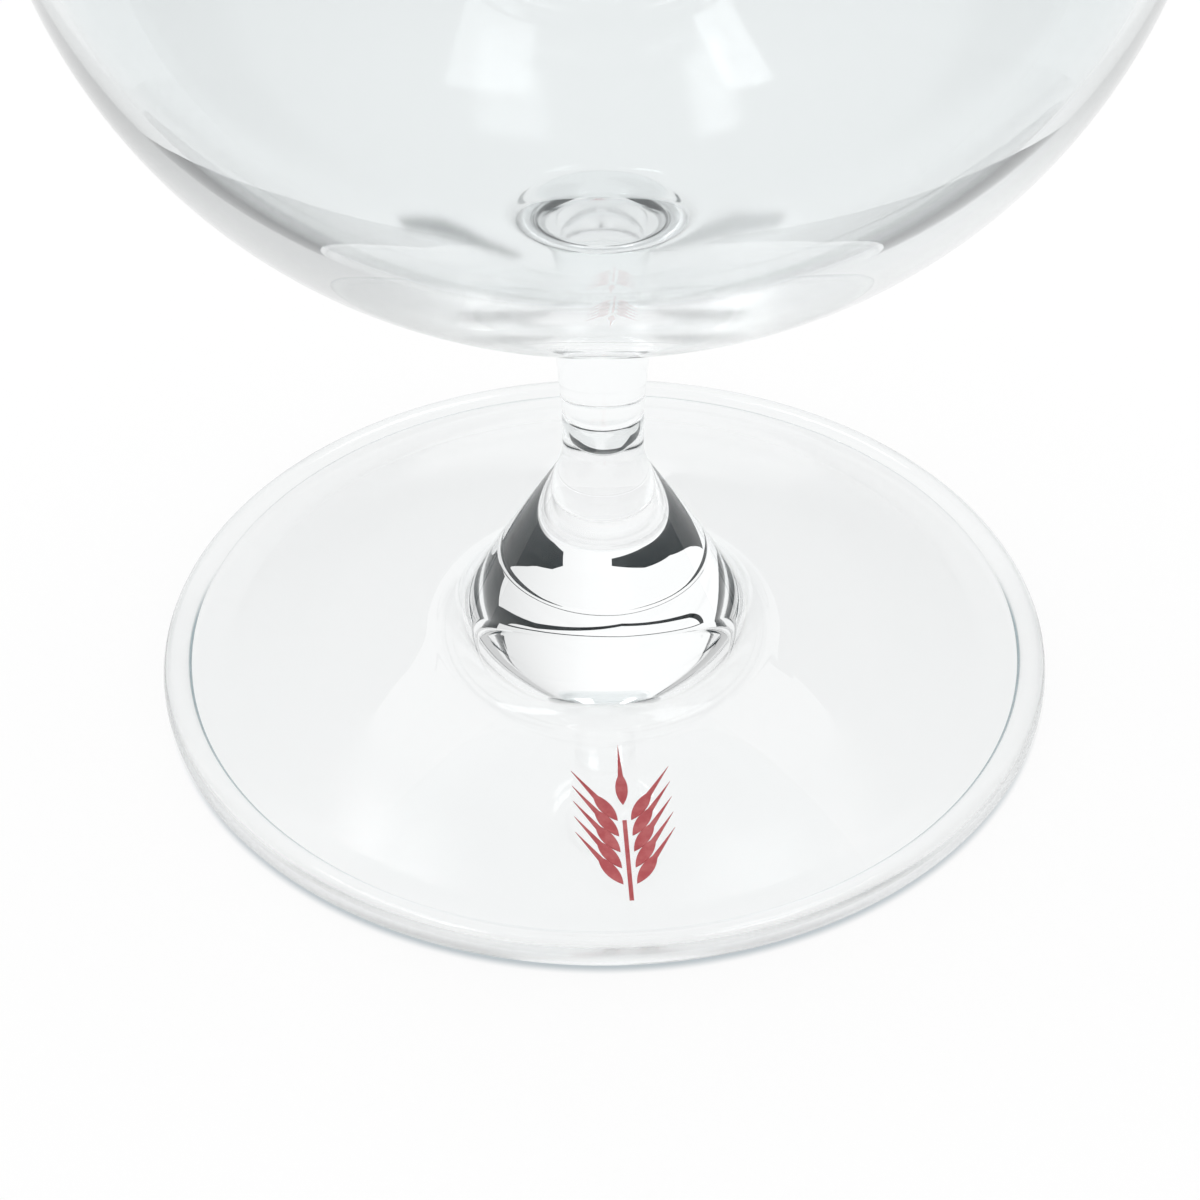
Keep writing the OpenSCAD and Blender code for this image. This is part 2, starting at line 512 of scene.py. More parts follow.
@dataclass(frozen=True)
class EnamelFinish:
    """Enamel, screen printed and fired: a little uneven, with a soft gloss.

    Colour and roughness are given where the layer is full and where it is thin.
    """

    name: str = "red_enamel"
    full: Colour = (0.58, 0.1, 0.11, 1.0)
    thin: Colour = (0.68, 0.18, 0.185, 1.0)
    full_rough: float = 0.28
    thin_rough: float = 0.42
    grain_depth: float = 0.02
    grain_strength: float = 0.35

    def made(self) -> Material:
        """Makes the material.

        Returns:
            The material.
        """
        material, graph, shader = new_material(self.name)
        place = graph.place()
        patches = graph.ramp(graph.noise(place, scale=900.0, detail=3.0, rough=0.6), low=0.35, high=0.7)
        rough = graph.ramp(patches, 0.0, 1.0, self.full_rough, self.thin_rough)
        grain = graph.noise(place, scale=5000.0, detail=2.0, rough=0.5)
        normal = graph.bump(self.grain_strength, self.grain_depth * MM, grain)
        colour = graph.mix(patches, self.full, self.thin)
        graph.fill(shader, {"Base Color": colour, "Roughness": rough, "Normal": normal})
        return material


@dataclass
class Finishes:
    """All materials of the object, made once."""

    bowl: Material
    stem: Material
    foot: Material
    lid: Material
    weld: Material
    enamel: Material
    enamel_back: Material

    @classmethod
    def made(cls) -> "Finishes":
        """Makes every material of the object.

        Returns:
            The materials.
        """
        group = handled_glass_group()
        # The bowl's grey tint is painted shade over clear glass; low_tint keeps the bowl's lower part clear
        blown = GlassFinish("blown_glass", tint=(0.85, 0.873, 0.877, 1.0),
                            low_tint=(0.978, 0.993, 0.995, 1.0), haze_span=(36.0, 50.0), haze=0.08)
        # The foot's crease gets painted shade in a ring between these radii
        spun = GlassFinish("spun_glass", draw=1.0, haze_span=(0.9, 1.5), haze=0.15, crease=(30.32, 30.6))
        base_coat = EnamelFinish("enamel_base_coat", full=(0.96, 0.95, 0.945, 1.0),
                                 thin=(0.94, 0.93, 0.92, 1.0))
        return cls(
            bowl=blown.made(group),
            stem=GlassFinish("drawn_glass", draw=0.3).made(group),
            foot=spun.made(group),
            lid=GlassFinish("pressed_glass", draw=1.0).made(group),
            weld=WeldFinish().made(),
            enamel=EnamelFinish().made(),
            enamel_back=base_coat.made(),
        )


def place_piece(piece: bpy.types.Object, node: str, body: Body,
                materials: list[Material]) -> None:
    """Dresses a piece and puts it in the part in place of its plain solid.

    Args:
        piece: The finished piece.
        node: Name of the solid that it stands for.
        body: Rigid body that it moves with.
        materials: Its materials, in the order of its face indices.
    """
    for material in materials:
        piece.data.materials.append(material)
    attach(piece, body.value)
    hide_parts(node)
    LOG.info("%s: %d faces on %s", piece.name, len(piece.data.polygons), body.value)


@dataclass
class Foot:
    """Spun plate with a rounded edge and a conical hub."""

    shared: Shared
    outer_r: float = 32.5
    edge_r: float = 1.1
    bead_h: float = 0.7
    bead_blend_r: float = 0.08
    slope: float = 5.0
    hollow_h: float = 2.4
    rest_w: float = 3.4
    hub_blend_r: float = 4.0
    columns: int = 288

    @property
    def face_up(self) -> Point:
        """Upward direction of the plate's face."""
        s = radians(self.slope)
        return (sin(s), cos(s))

    @property
    def edge_mid(self) -> Point:
        """Centre of the rounded edge."""
        return (self.outer_r - self.edge_r, self.edge_r)

    def beside_edge(self, lift: float, reach: float) -> Point:
        """Gives a point inward of the edge's centre, lifted square to the face and at a reach from it."""
        mid, up, back = self.edge_mid, self.face_up, sqrt(reach ** 2 - lift ** 2)
        return (mid[0] + lift * up[0] - back * up[1], mid[1] + lift * up[1] + back * up[0])

    @property
    def face_end(self) -> Point:
        """Point where the plate's face runs into the rounded edge."""
        return self.beside_edge(self.edge_r - self.bead_h, self.edge_r)

    @property
    def bead_blend_mid(self) -> Point:
        """Centre of the small blend between the rounded edge and the plate's face."""
        blend = self.bead_blend_r
        return self.beside_edge(self.edge_r - self.bead_h + blend, self.edge_r + blend)

    def face_z(self, radius: float) -> float:
        """Gives the height of the plate's face at a radius."""
        return self.face_end[1] + (self.face_end[0] - radius) * tan(radians(self.slope))

    @property
    def hub_foot(self) -> Point:
        """Point where the flare's line meets the plate's face.

        Returns:
            Its radius and height.
        """
        shared = self.shared
        spread, slope = shared.flare_spread, tan(radians(self.slope))
        z = (self.face_z(shared.hub_r) - shared.hub_h * spread * slope) / (1 - spread * slope)
        return (shared.hub_r + (shared.hub_h - z) * spread, z)

    @property
    def hub_blend_mid(self) -> Point:
        """Centre of the blend between the hub and the plate.

        Returns:
            Its radius and height.
        """
        out, up, foot = self.shared.flare_out, self.face_up, self.hub_foot
        share = self.hub_blend_r / (1 + out[0] * up[0] + out[1] * up[1])
        return (foot[0] + share * (out[0] + up[0]), foot[1] + share * (out[1] + up[1]))

    @property
    def hub_blend_foot(self) -> Point:
        """Point where that blend runs into the plate's face."""
        mid, up, blend = self.hub_blend_mid, self.face_up, self.hub_blend_r
        return (mid[0] - blend * up[0], mid[1] - blend * up[1])

    def outline(self) -> Outline:
        """Draws the foot from the middle of its hollow over its edge to the middle of the weld.

        Returns:
            The outline.
        """
        shared, edge, bead = self.shared, self.edge_mid, self.bead_blend_mid
        hub_r, hub_h, fall = shared.hub_r, shared.hub_h, shared.weld_round
        hollow_r = edge[0] - self.rest_w
        arc_r = (hollow_r ** 2 + self.hollow_h ** 2) / (2 * self.hollow_h)
        hollow_angle = degrees(asin(hollow_r / arc_r))
        crest = degrees(atan2(bead[1] - edge[1], bead[0] - edge[0]))
        line = Outline().start(0, self.hollow_h)
        line.arc((0, self.hollow_h - arc_r), arc_r, 90, 90 - hollow_angle, steps=60)
        line.line((edge[0], 0), steps=4)
        line.arc(edge, self.edge_r, -90, crest, steps=48)
        line.arc(bead, self.bead_blend_r, crest + 180, 270 - self.slope, steps=10)
        line.line(self.hub_blend_foot, steps=40)
        line.arc(self.hub_blend_mid, self.hub_blend_r, 270 - self.slope, 180 + shared.flare_angle, steps=28)
        line.line((hub_r + fall * shared.flare_spread, hub_h - fall), steps=24)
        line.line((hub_r - shared.weld_groove, hub_h))
        line.line((0, hub_h), face=Face.WELD)
        return line

    def build(self, finishes: Finishes) -> None:
        """Builds and dresses the foot."""
        piece = self.outline().turned("foot_glass", self.columns)
        place_piece(piece, "foot", Body.GLASS, [finishes.foot, finishes.weld])


@dataclass
class Stem:
    """Short flared length between its two welds."""

    shared: Shared
    columns: int = 224

    def outline(self) -> Outline:
        """Draws the stem from its lower weld up to its upper one.

        Returns:
            The outline.
        """
        shared = self.shared
        top, groove, fall = shared.weld_z, shared.weld_groove, shared.weld_round
        line = Outline().start(0, shared.hub_h)
        line.line((shared.hub_r - groove, shared.hub_h), face=Face.WELD)
        line.line((shared.hub_r - fall * shared.flare_spread, shared.hub_h + fall))
        line.line(shared.flare_start, steps=24)
        line.arc(shared.flare_mid, shared.flare_blend_r, 180 + shared.flare_angle, 180, steps=24)
        line.line((shared.stem_r, top - fall), steps=16)
        line.line((shared.stem_r - groove, top))
        line.line((0, top), face=Face.WELD)
        return line

    def build(self, finishes: Finishes) -> None:
        """Builds and dresses the stem."""
        piece = self.outline().turned("stem_glass", self.columns)
        place_piece(piece, "stem", Body.GLASS, [finishes.stem, finishes.weld])


@dataclass
class Bowl:
    """Blown shell with a drawn neck, from the upper weld to the fired rim."""

    shared: Shared
    neck_l: float = 12.3
    neck_taper: float = 4.7
    neck_blend_r: float = 4.0
    belly_r: float = 35.2
    belly_arc_r: float = 32.8
    upper_h: float = 53.3
    upper_arc_r: float = 132.0
    wall: float = 1.2
    bottom: float = 3.1
    columns: int = 320

    @property
    def belly_mid(self) -> Point:
        """Centre of the round underside."""
        return (self.belly_r - self.belly_arc_r, self.shared.weld_z + self.neck_l + self.belly_arc_r)

    @property
    def upper_mid(self) -> Point:
        """Centre of the tapering upper wall."""
        return (self.belly_r - self.upper_arc_r, self.belly_mid[1])

    @property
    def rim_r(self) -> float:
        """Radius of the rounded rim."""
        return self.wall / 2

    @property
    def rim_angle(self) -> float:
        """Angle of the upper wall at the rim."""
        return degrees(asin((self.upper_h - self.rim_r) / (self.upper_arc_r - self.rim_r)))

    @property
    def rim_mid(self) -> Point:
        """Centre of the rounded rim."""
        reach, a = self.upper_arc_r - self.rim_r, radians(self.rim_angle)
        return (self.upper_mid[0] + reach * cos(a), self.upper_mid[1] + reach * sin(a))

    @property
    def neck_blend_mid(self) -> Point:
        """Centre of the blend that touches the neck and the belly.

        Returns:
            Its radius and height.
        """
        a, r = radians(self.neck_taper), self.neck_blend_r
        up, belly = (sin(a), cos(a)), self.belly_mid
        start_r = self.shared.stem_r + r * cos(a) - belly[0]
        start_z = self.shared.weld_z - r * sin(a) - belly[1]
        along = start_r * up[0] + start_z * up[1]
        reach = (self.belly_arc_r + r) ** 2
        run = -along - sqrt(along ** 2 - start_r ** 2 - start_z ** 2 + reach)
        return (belly[0] + start_r + run * up[0], belly[1] + start_z + run * up[1])

    def outline(self) -> Outline:
        """Draws the bowl from its weld, up its outside, over the rim and down its inside.

        Returns:
            The outline.
        """
        shared, belly, mid, blend = self.shared, self.belly_mid, self.neck_blend_mid, self.neck_blend_r
        upper, wide, rim = self.upper_mid, self.upper_arc_r, self.rim_angle
        fall, taper = shared.weld_round, radians(self.neck_taper)
        neck_end = (mid[0] - blend * cos(taper), mid[1] + blend * sin(taper))
        touch = degrees(atan2(mid[1] - belly[1], mid[0] - belly[0]))
        inner_r = self.belly_arc_r - self.bottom
        inner_mid = (self.belly_r - self.wall - inner_r, belly[1])
        line = Outline().start(0, shared.weld_z)
        line.line((shared.stem_r - shared.weld_groove, shared.weld_z), face=Face.WELD)
        line.line((shared.stem_r + fall * tan(taper), shared.weld_z + fall))
        line.line(neck_end, steps=24)
        line.arc(mid, blend, 180 - self.neck_taper, 180 + touch, steps=24)
        line.arc(belly, self.belly_arc_r, touch, 0, steps=90)
        line.arc(upper, wide, 0, rim, steps=60)
        line.arc(self.rim_mid, self.rim_r, rim, rim + 180, steps=16)
        line.arc(upper, wide - self.wall, rim, 0, steps=60)
        line.arc(inner_mid, inner_r, 0, -90, steps=90)
        line.line((0, inner_mid[1] - inner_r), steps=6)
        return line

    def build(self, finishes: Finishes) -> None:
        """Builds and dresses the bowl."""
        piece = self.outline().turned("bowl_glass", self.columns)
        place_piece(piece, "bowl", Body.GLASS, [finishes.bowl, finishes.weld])


@dataclass
class Lid:
    """Loose pressed plate with a locating ring, and the knob on it."""

    bowl: Bowl
    overhang: float = 4.0
    edge_t: float = 3.0
    dome_h: float = 2.4
    ring_h: float = 4.0
    ring_w: float = 2.2
    ring_gap: float = 0.8
    seat_gap: float = 0.1
    ring_blend: float = 0.5
    knob_r: float = 7.5
    knob_stand: float = 2.5
    knob_neck_r: float = 2.5
    knob_neck_first: float = 258.0
    knob_disc_r: float = 6.614
    knob_disc_t: float = 0.6
    columns: int = 288

    @property
    def base_z(self) -> float:
        """Height of the plate's underside."""
        return self.bowl.rim_mid[1] + self.bowl.rim_r + self.seat_gap

    @property
    def edge_mid(self) -> Point:
        """Centre of the plate's rounded edge."""
        half = self.edge_t / 2
        return (self.bowl.rim_mid[0] + self.bowl.rim_r + self.overhang - half, self.base_z + half)

    @property
    def dome_r(self) -> float:
        """Radius of the domed upper face."""
        return (self.edge_mid[0] ** 2 + self.dome_h ** 2) / (2 * self.dome_h)

    @property
    def dome_mid_z(self) -> float:
        """Height of the centre of the domed upper face."""
        return self.base_z + self.edge_t + self.dome_h - self.dome_r

    @property
    def pad_z(self) -> float:
        """Height of the pad that the knob is welded to."""
        return self.dome_mid_z + sqrt(self.dome_r ** 2 - self.knob_disc_r ** 2)

    def plate_outline(self) -> Outline:
        """Draws the plate from the middle of its underside round to the middle of its pad.

        Returns:
            The outline.
        """
        base, edge, blend, round_r = self.base_z, self.edge_mid, self.ring_blend, self.ring_w / 2
        ring_r = self.bowl.rim_mid[0] - self.bowl.rim_r - self.ring_gap
        inner_r, low_z = ring_r - self.ring_w, base - self.ring_h + round_r
        lip = degrees(acos(edge[0] / self.dome_r))
        pad = degrees(acos(self.knob_disc_r / self.dome_r))
        line = Outline().start(0, base)
        line.line((inner_r - blend, base), steps=12)
        line.arc((inner_r - blend, base - blend), blend, 90, 0, steps=8)
        line.line((inner_r, low_z), steps=4)
        line.arc((inner_r + round_r, low_z), round_r, 180, 360, steps=24)
        line.line((ring_r, base - blend), steps=4)
        line.arc((ring_r + blend, base - blend), blend, 180, 90, steps=8)
        line.line((edge[0], base), steps=6)
        line.arc(edge, self.edge_t / 2, -90, 90, steps=32)
        line.arc((0, self.dome_mid_z), self.dome_r, lip, pad, steps=30)
        line.line((0, self.pad_z), face=Face.WELD)
        return line

    def knob_outline(self) -> Outline:
        """Draws the knob from the middle of its disc to the top of its ball.

        Returns:
            The outline.
        """
        disc_r, pad_z, soft = self.knob_disc_r, self.pad_z, self.knob_disc_t / 2
        disc_z = pad_z + self.knob_disc_t
        neck_mid = (disc_r, disc_z + self.knob_neck_r)
        ball_z = disc_z + self.knob_stand + self.knob_r
        touch = degrees(atan2(neck_mid[1] - ball_z, neck_mid[0]))
        line = Outline().start(0, pad_z)
        line.line((disc_r - soft, pad_z), face=Face.WELD)
        line.arc((disc_r - soft, pad_z + soft), soft, -90, 90, steps=12)
        line.arc(neck_mid, self.knob_neck_r, self.knob_neck_first, 180 + touch, steps=24)
        line.arc((0, ball_z), self.knob_r, touch, 90, steps=60)
        return line

    def build(self, finishes: Finishes) -> None:
        """Builds and dresses the plate and the knob.

        Args:
            finishes: The materials.
        """
        for node, outline in (("lid_plate", self.plate_outline()), ("lid_knob", self.knob_outline())):
            piece = outline.turned(f"{node}_glass", self.columns)
            place_piece(piece, node, Body.LID, [finishes.lid, finishes.weld])


@dataclass
class BarleyPrint:
    """Printed ear of barley on the front of the foot, as a raised layer of enamel.

    The root of a grain is given in widths of the stalk, and the shoulder, where the layer's sides start
    to round off, in thicknesses of the layer.
    """

    foot: Foot
    thickness: float = 0.08
    shoulder: float = 0.6
    pairs: int = 5
    grain_l: float = 2.9
    grain_w: float = 0.85
    grain_steps: int = 16
    grain_root: float = 1.5
    awn_l: float = 2.6
    lean: float = 32.0
    line_w: float = 0.3
    hub_gap: float = 1.0
    edge_gap: float = 2.5
    lift: float = 0.006
    soft: float = 0.04

    def grain(self) -> list[Point]:
        """Draws one grain with its awn, pointing along +Y from its root.

        Returns:
            The points of its closed outline.
        """
        side_r = (self.grain_l ** 2 + self.grain_w ** 2) / (4 * self.grain_w)
        half = degrees(asin(self.grain_l / 2 / side_r))
        reach = side_r - self.grain_w / 2
        right: list[Point] = []
        for i in range(self.grain_steps + 1):
            a = radians(-half + 2 * half * i / self.grain_steps)
            point = (side_r * cos(a) - reach, self.grain_l / 2 + side_r * sin(a))
            if point[0] >= self.line_w / 2 or point[1] < self.grain_l / 2:
                right.append(point)
        return right + [(0.0, self.grain_l + self.awn_l)] + [(-x, y) for x, y in reversed(right[1:])]

    def shapes(self, length: float) -> list[list[Point]]:
        """Lays out the stalk and all the grains.

        Args:
            length: Length of the whole ear.

        Returns:
            Closed outlines, with +Y from the stalk's root to the tip.
        """
        step = (length - self.grain_l - self.awn_l) / (self.pairs + 1)
        half = self.line_w / 2
        laid = [[(-half, 0.0), (half, 0.0), (half, step * self.pairs), (-half, step * self.pairs)]]
        grain = [Vector(p) for p in self.grain()]
        for i in range(1, self.pairs + 1):
            for side in (-1, 1):
                turn = Matrix.Rotation(radians(-side * self.lean), 2)
                root = Vector((side * self.grain_root * self.line_w, step * i))
                laid.append([tuple(turn @ p + root) for p in grain])
        root = Vector((0, step * (self.pairs + 1)))
        laid.append([tuple(p + root) for p in grain])
        return laid

    def add_layer(self, bm: bmesh.types.BMesh, shape: list[Point], end_r: float) -> None:
        """Adds the layer of one closed outline, which follows the plate's face.

        Args:
            bm: Mesh that takes the layer.
            shape: The outline.
            end_r: Radius on the plate of the stalk's root.
        """
        middle = sum((Vector(p) for p in shape), Vector((0, 0))) / len(shape)
        rings: list[list[bmesh.types.BMVert]] = []
        shoulder_z = self.thickness * self.shoulder
        for level, pull in ((self.lift, 0.0), (shoulder_z, 0.0), (self.thickness, self.soft)):
            ring = []
            for point in shape:
                inward = middle - Vector(point)
                x, y = Vector(point) + inward.normalized() * min(pull, inward.length / 2)
                z = self.foot.face_z(hypot(x, y - end_r)) + level
                ring.append(bm.verts.new((x * MM, (y - end_r) * MM, z * MM)))
            rings.append(ring)
        bm.faces.new(rings[0][::-1]).material_index = 1
        bm.faces.new(rings[-1])
        for low, high in zip(rings, rings[1:]):
            for i in range(len(low)):
                j = (i + 1) % len(low)
                bm.faces.new((low[i], low[j], high[j], high[i]))

    def build(self, finishes: Finishes) -> None:
        """Builds the print's layer on the plate's face and dresses it.

        Args:
            finishes: The materials.
        """
        tip_r = self.foot.hub_blend_foot[0] + self.hub_gap
        end_r = self.foot.face_end[0] - self.edge_gap
        bm = bmesh.new()
        for shape in self.shapes(end_r - tip_r):
            self.add_layer(bm, shape, end_r)
        bmesh.ops.recalc_face_normals(bm, faces=bm.faces[:])
        mesh = bpy.data.meshes.new("foot_print_enamel")
        bm.to_mesh(mesh)
        bm.free()
        piece = linked("foot_print_enamel", mesh)
        place_piece(piece, "foot_print", Body.GLASS, [finishes.enamel, finishes.enamel_back])


@dataclass(frozen=True)
class PhotoCamera:
    """Camera at the photograph's viewing angle, for a square picture.

    The glass's axis stands aim_px beside the middle of the picture.
    """

    azimuth: float = -3.4
    elevation: float = 39.55
    roll: float = -0.4
    distance: float = 178.75
    target_z: float = 4.32
    focal_px: float = 2428.1
    picture_px: float = 1200.0
    aim_px: float = 4.0
    sensor: float = 36.0
    nearest: float = 1.0

    def build(self) -> None:
        """Makes the camera and gives it to the scene."""
        a, e = radians(self.azimuth), radians(self.elevation)
        back = Vector((sin(a) * cos(e), -cos(a) * cos(e), sin(e)))
        data = bpy.data.cameras.new("photo_camera")
        data.sensor_width = self.sensor
        data.lens = self.sensor * self.focal_px / self.picture_px
        data.clip_start = self.nearest * MM
        camera = linked("photo_camera", data)
        turn = (-back).to_track_quat("-Z", "Y")
        aside = turn @ Vector((1, 0, 0)) * (self.aim_px / self.focal_px * self.distance)
        camera.location = (Vector((0, 0, self.target_z)) + back * self.distance - aside) * MM
        camera.rotation_mode = "QUATERNION"
        camera.rotation_quaternion = turn @ Euler((0, 0, radians(self.roll))).to_quaternion()
        bpy.context.scene.camera = camera


@dataclass(frozen=True)
class Surroundings:
    """White room, which the camera and the floor see evenly lit.

    In the glass the room is dimmer in front, to the right, and low at both sides. Spans are along the
    X, Y or Z of the direction looked in, from -1 to 1.
    """

    even: float = 0.88
    front: float = 0.62
    behind: float = 1.05
    front_span: Point = (-0.6, 0.3)
    right: float = 0.72
    right_span: Point = (0.0, 0.8)
    low_side: float = 0.6
    side_span: Point = (0.3, 0.5)
    low_span: Point = (0.3, 0.45)

    def build(self) -> None:
        """Makes the world and gives it to the scene."""
        world = bpy.data.worlds.new("studio")
        world.use_nodes = True
        bpy.context.scene.world = world
        graph = NodeGraph(world.node_tree)
        x, y, z = graph.split(graph.add("ShaderNodeTexCoord").outputs["Generated"])
        aside = graph.ramp(graph.math("ABSOLUTE", x), *self.side_span)
        low_aside = graph.math("MULTIPLY", aside, graph.ramp(z, *self.low_span, 1.0, 0.0))
        lit = graph.ramp(y, *self.front_span, self.front, self.behind)
        lit = graph.math("MULTIPLY", lit, graph.ramp(x, *self.right_span, 1.0, self.right))
        lit = graph.math("MULTIPLY", lit, graph.ramp(low_aside, 0.0, 1.0, 1.0, self.low_side))
        path = graph.add("ShaderNodeLightPath").outputs
        in_glass = graph.math("MULTIPLY", lit, graph.glass_ray(path))
        seen = graph.math("MAXIMUM", path["Is Camera Ray"], in_glass)
        on_floor = graph.math("MULTIPLY", path["Is Diffuse Ray"], self.even)
        strength = graph.math("MAXIMUM", seen, on_floor)
        back = graph.add("ShaderNodeBackground", {"Color": WHITE, "Strength": strength})
        graph.add("ShaderNodeOutputWorld", {"Surface": back.outputs[0]})


@dataclass(frozen=True)
class Floor:
    """White floor that glows, with a soft shade where the front of the foot stands on it.

    The shade starts between the radii of shade_inner, ends between those of shade_outer, and fades out
    to the back between the places along Y of shade_front.
    """

    size: float = 3000.0
    drop: float = 0.02
    base: Colour = (0.1, 0.1, 0.1, 1.0)
    rough: float = 0.9
    gloss: float = 0.1
    glow: float = 0.9
    shade: Colour = (0.5, 0.55, 0.58, 1.0)
    shade_inner: Point = (31.62, 31.75)
    shade_outer: Point = (31.9, 32.7)
    shade_front: Point = (-18.0, -4.0)

    def made(self) -> Material:
        """Makes the floor's material.

        Returns:
            The material.
        """
        material, graph, shader = new_material("floor_paper")
        place = graph.place()
        radius, y = graph.vector("LENGTH", place)["Value"], graph.split(place)[1]
        inner, outer, front = ((low * MM, high * MM) for low, high in
                               (self.shade_inner, self.shade_outer, self.shade_front))
        shade = graph.math("MULTIPLY", graph.band(radius, inner, outer), graph.ramp(y, *front, 1.0, 0.0))
        path = graph.add("ShaderNodeLightPath").outputs
        seen = graph.math("MAXIMUM", path["Is Camera Ray"], graph.glass_ray(path))
        graph.fill(shader, {"Base Color": self.base, "Roughness": self.rough,
                            "Specular IOR Level": self.gloss,
                            "Emission Color": graph.mix(shade, WHITE, self.shade),
                            "Emission Strength": graph.math("MULTIPLY", seen, self.glow)})
        return material

    def build(self) -> None:
        """Lays the floor under the glass."""
        half = self.size / 2 * MM
        corners = [(-half, -half, 0), (half, -half, 0), (half, half, 0), (-half, half, 0)]
        mesh = bpy.data.meshes.new("floor")
        mesh.from_pydata(corners, [], [(0, 1, 2, 3)])
        mesh.materials.append(self.made())
        floor = linked("floor", mesh)
        floor.location.z = -self.drop * MM


@dataclass(frozen=True)
class CardFinish:
    """Matt black that shows only in light that went a certain way through the glass.

    It takes a share, its weight, of the light with so many reflections (bounces) and so many passes
    through a surface of the glass (crossings), each given as the least and the most.
    """

    name: str
    bounces: tuple[int, int]
    crossings: tuple[int, int]
    weight: float = 1.0
    black: Colour = (0.002, 0.022, 0.03, 1.0)
    rough: float = 0.9

    def made(self) -> Material:
        """Makes the material.

        Returns:
            The material.
        """
        material, graph, shader = new_material(self.name)
        path = graph.add("ShaderNodeLightPath").outputs
        bounced = self.between(graph, path["Glossy Depth"], self.bounces)
        crossed = self.between(graph, path["Transmission Depth"], self.crossings)
        taken = graph.math("MULTIPLY", graph.math("MULTIPLY", bounced, self.weight), crossed)
        graph.fill(shader, {"Base Color": self.black, "Roughness": self.rough, "Alpha": taken})
        return material

    def between(self, graph: NodeGraph, count: Socket, span: tuple[int, int]) -> Socket:
        """Gives a socket that is 1 where a whole number lies in a span, and 0 elsewhere."""
        enough = graph.math("GREATER_THAN", count, span[0] - 0.5)
        return graph.math("MULTIPLY", enough, graph.math("LESS_THAN", count, span[1] + 0.5))


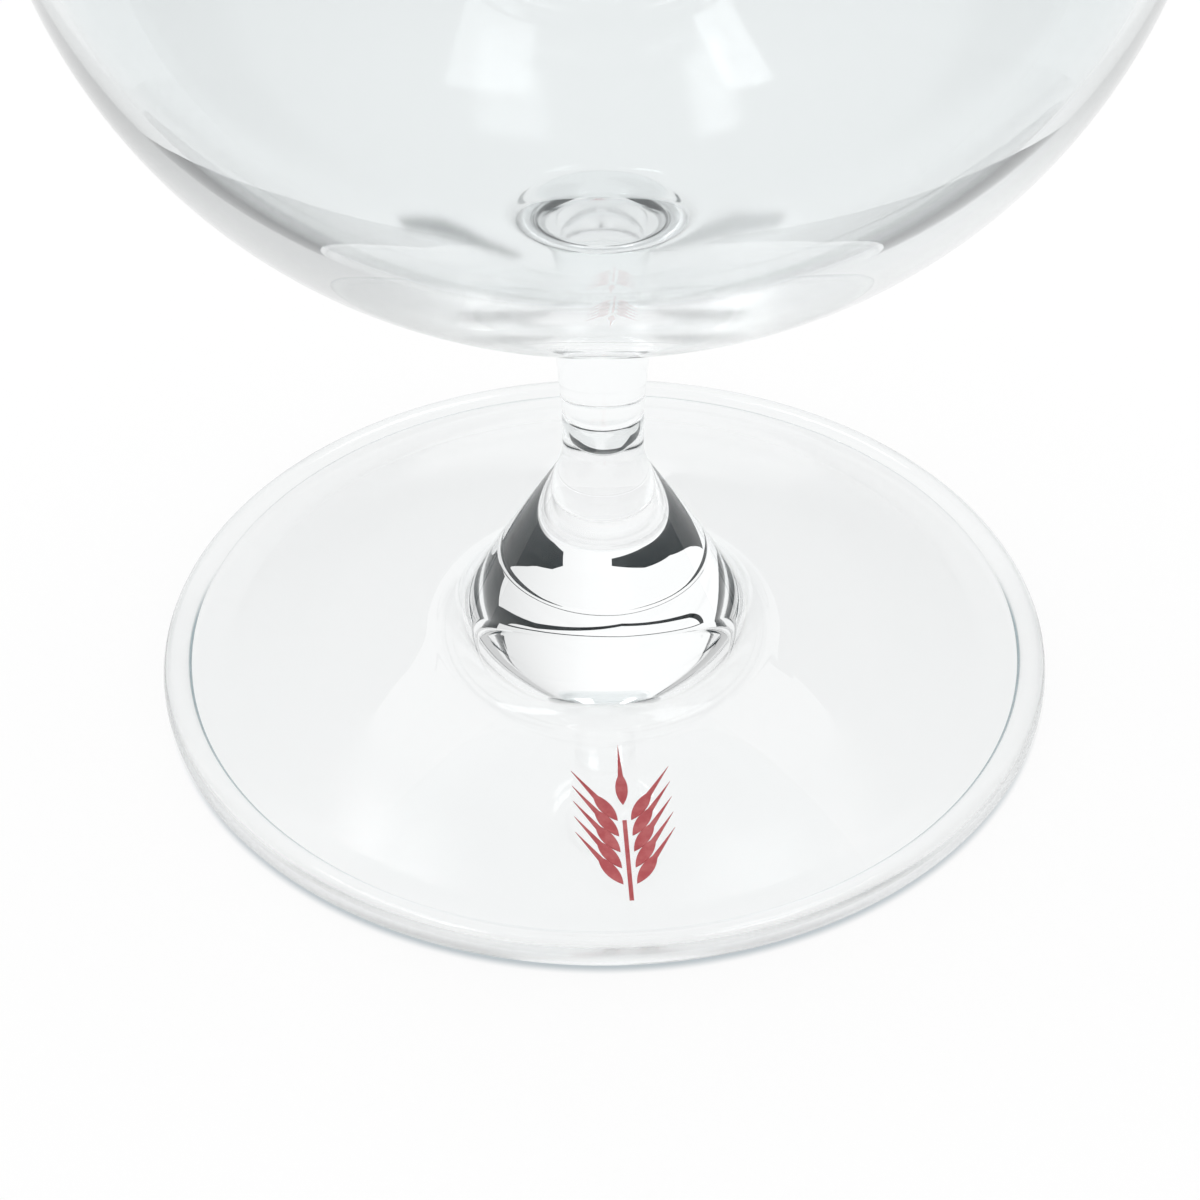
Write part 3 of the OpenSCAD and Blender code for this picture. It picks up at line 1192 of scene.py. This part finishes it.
@dataclass(frozen=True)
class Cards:
    """Dark cards that draw edges inside the glass and can't be seen beside it: painted dark reflections,
    and painted shadows on the floor seen through the glass.

    A row of a card is a bearing, from straight behind towards the right, and the places of its two
    edges there: heights on a standing card, radii on one that lies on the floor.
    """

    standing_r: float = 34.0
    standing_steps: int = 8
    lying_z: float = -0.01

    def at(self, bearing: float, radius: float, height: float) -> Place:
        """Gives the place in metres at a bearing, a radius and a height."""
        a = radians(bearing)
        return (radius * sin(a) * MM, radius * cos(a) * MM, height * MM)

    def standing(self, rows: list[Place]) -> list[Place]:
        """Bends a standing card round the glass.

        Args:
            rows: The card's rows.

        Returns:
            Points on its two edges by turns.
        """
        verts: list[Place] = []
        for first, last in zip(rows, rows[1:]):
            for i in range(self.standing_steps + 1):
                t = i / self.standing_steps
                bearing, low, high = (start + (end - start) * t for start, end in zip(first, last))
                verts += [self.at(bearing, self.standing_r, z) for z in (low, high)]
        return verts

    def lying(self, rows: list[Place]) -> list[Place]:
        """Gives the points of a card on the floor, on its two edges by turns."""
        return [self.at(row[0], radius, self.lying_z) for row in rows for radius in row[1:]]

    def add(self, name: str, verts: list[Place], finish: Material) -> None:
        """Adds a card that casts no shadow.

        Args:
            name: Name of the card.
            verts: Points on its two edges by turns.
            finish: Material of the card.
        """
        mesh = bpy.data.meshes.new(name)
        mesh.from_pydata(verts, [], [(i, i + 2, i + 3, i + 1) for i in range(0, len(verts) - 2, 2)])
        mesh.materials.append(finish)
        card = linked(name, mesh)
        card.visible_camera = card.visible_diffuse = card.visible_shadow = False

    def build(self) -> None:
        """Sets up the cards for the edges of hub, stem and bowl and for the two painted shadows seen low in
        the bowl.
        """
        # Painted dark reflections: standing cards that show only after a reflection in the glass
        edge = CardFinish("card_edge", bounces=(1, 4), crossings=(1, 64)).made()
        right = [(12, 9, 16), (15, 6.5, 19.5), (24, 6, 24), (33, 5, 28), (40, 3, 33), (60, 0, 36),
                 (122, 0, 40), (165, 24, 36)]
        left = [(2, 9, 13), (-5, 6, 17), (-13, 5, 18), (-24, 4, 24.5), (-38, 0, 31.5), (-60, 0, 36),
                (-130, 0, 40), (-153, 22, 34)]
        back = [(-32, 34.2, 34.8), (-20, 32, 32.6), (0, 29.7, 30.3), (20, 32, 33), (45, 33, 34.6)]
        front = [(165, 3, 9), (195, 3, 9)]
        for name, rows in (("right", right), ("left", left), ("back", back), ("front", front)):
            self.add(f"card_{name}", self.standing(rows), edge)
        # Painted shadows: two grey patches on the floor behind the glass, seen only straight through the
        # bowl
        dark = CardFinish("card_bowl_dark", bounces=(0, 0), crossings=(4, 4), weight=0.9).made()
        bowl_left = [(-20, 45, 47.5), (-17, 44, 47.5), (-14, 42.5, 47), (-11.5, 40.5, 45),
                     (-9, 38.5, 41.5), (-7, 38, 39.5)]
        self.add("card_bowl_left", self.lying(bowl_left), dark)
        pale = CardFinish("card_bowl_pale", bounces=(0, 0), crossings=(4, 4), weight=0.5).made()
        bowl_right = [(24, 45, 48), (17, 43, 48), (12, 41, 45.5), (8, 39, 41)]
        self.add("card_bowl_right", self.lying(bowl_right), pale)
        # Painted shadow of the hub on the floor under the foot, seen only through the glass
        stem = CardFinish("card_stem", bounces=(0, 4), crossings=(4, 4)).made()
        low = [(54, 17, 25.5), (33, 15, 22.5), (18, 13, 19.5), (5, 12, 18.5), (-4, 12, 18.5),
               (-18, 13, 18.5), (-30, 17, 25.5), (-56, 20, 28)]
        self.add("card_low", self.lying(low), stem)


@dataclass(frozen=True)
class Softbox:
    """Soft rectangular lamp that hangs level over the glass, in metres and watts."""

    name: str
    place: Point
    width: float
    length: float = 0.6
    height: float = 0.95
    watts: float = 1.0

    def build(self) -> None:
        """Hangs the lamp."""
        data = bpy.data.lights.new(self.name, "AREA")
        data.shape = "RECTANGLE"
        data.size, data.size_y = self.width, self.length
        data.energy = self.watts
        linked(self.name, data).location = (*self.place, self.height)


@dataclass(frozen=True)
class Studio:
    """Room, floor, cards and lamps, and how often light is followed through the glass."""

    all_bounces: int = 96
    glass_bounces: int = 64
    clear_bounces: int = 48

    def build(self) -> None:
        """Sets up the studio."""
        scene = bpy.context.scene
        scene.view_settings.view_transform = "Standard"
        scene.cycles.max_bounces = self.all_bounces
        scene.cycles.transmission_bounces = scene.cycles.glossy_bounces = self.glass_bounces
        scene.cycles.transparent_max_bounces = self.clear_bounces
        Surroundings().build()
        Floor().build()
        Cards().build()
        Softbox("softbox_left", (-0.28, 0.25), 0.12).build()
        Softbox("softbox_right", (0.26, 0.2), 0.2).build()


def main() -> None:
    """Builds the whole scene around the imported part."""
    logging.basicConfig(level=logging.INFO, format="%(name)s: %(message)s")
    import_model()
    shared = Shared()
    finishes = Finishes.made()
    foot = Foot(shared)
    foot.build(finishes)
    BarleyPrint(foot).build(finishes)
    Stem(shared).build(finishes)
    bowl = Bowl(shared)
    bowl.build(finishes)
    Lid(bowl).build(finishes)
    PhotoCamera().build()
    Studio().build()


if __name__ == "__main__":
    main()
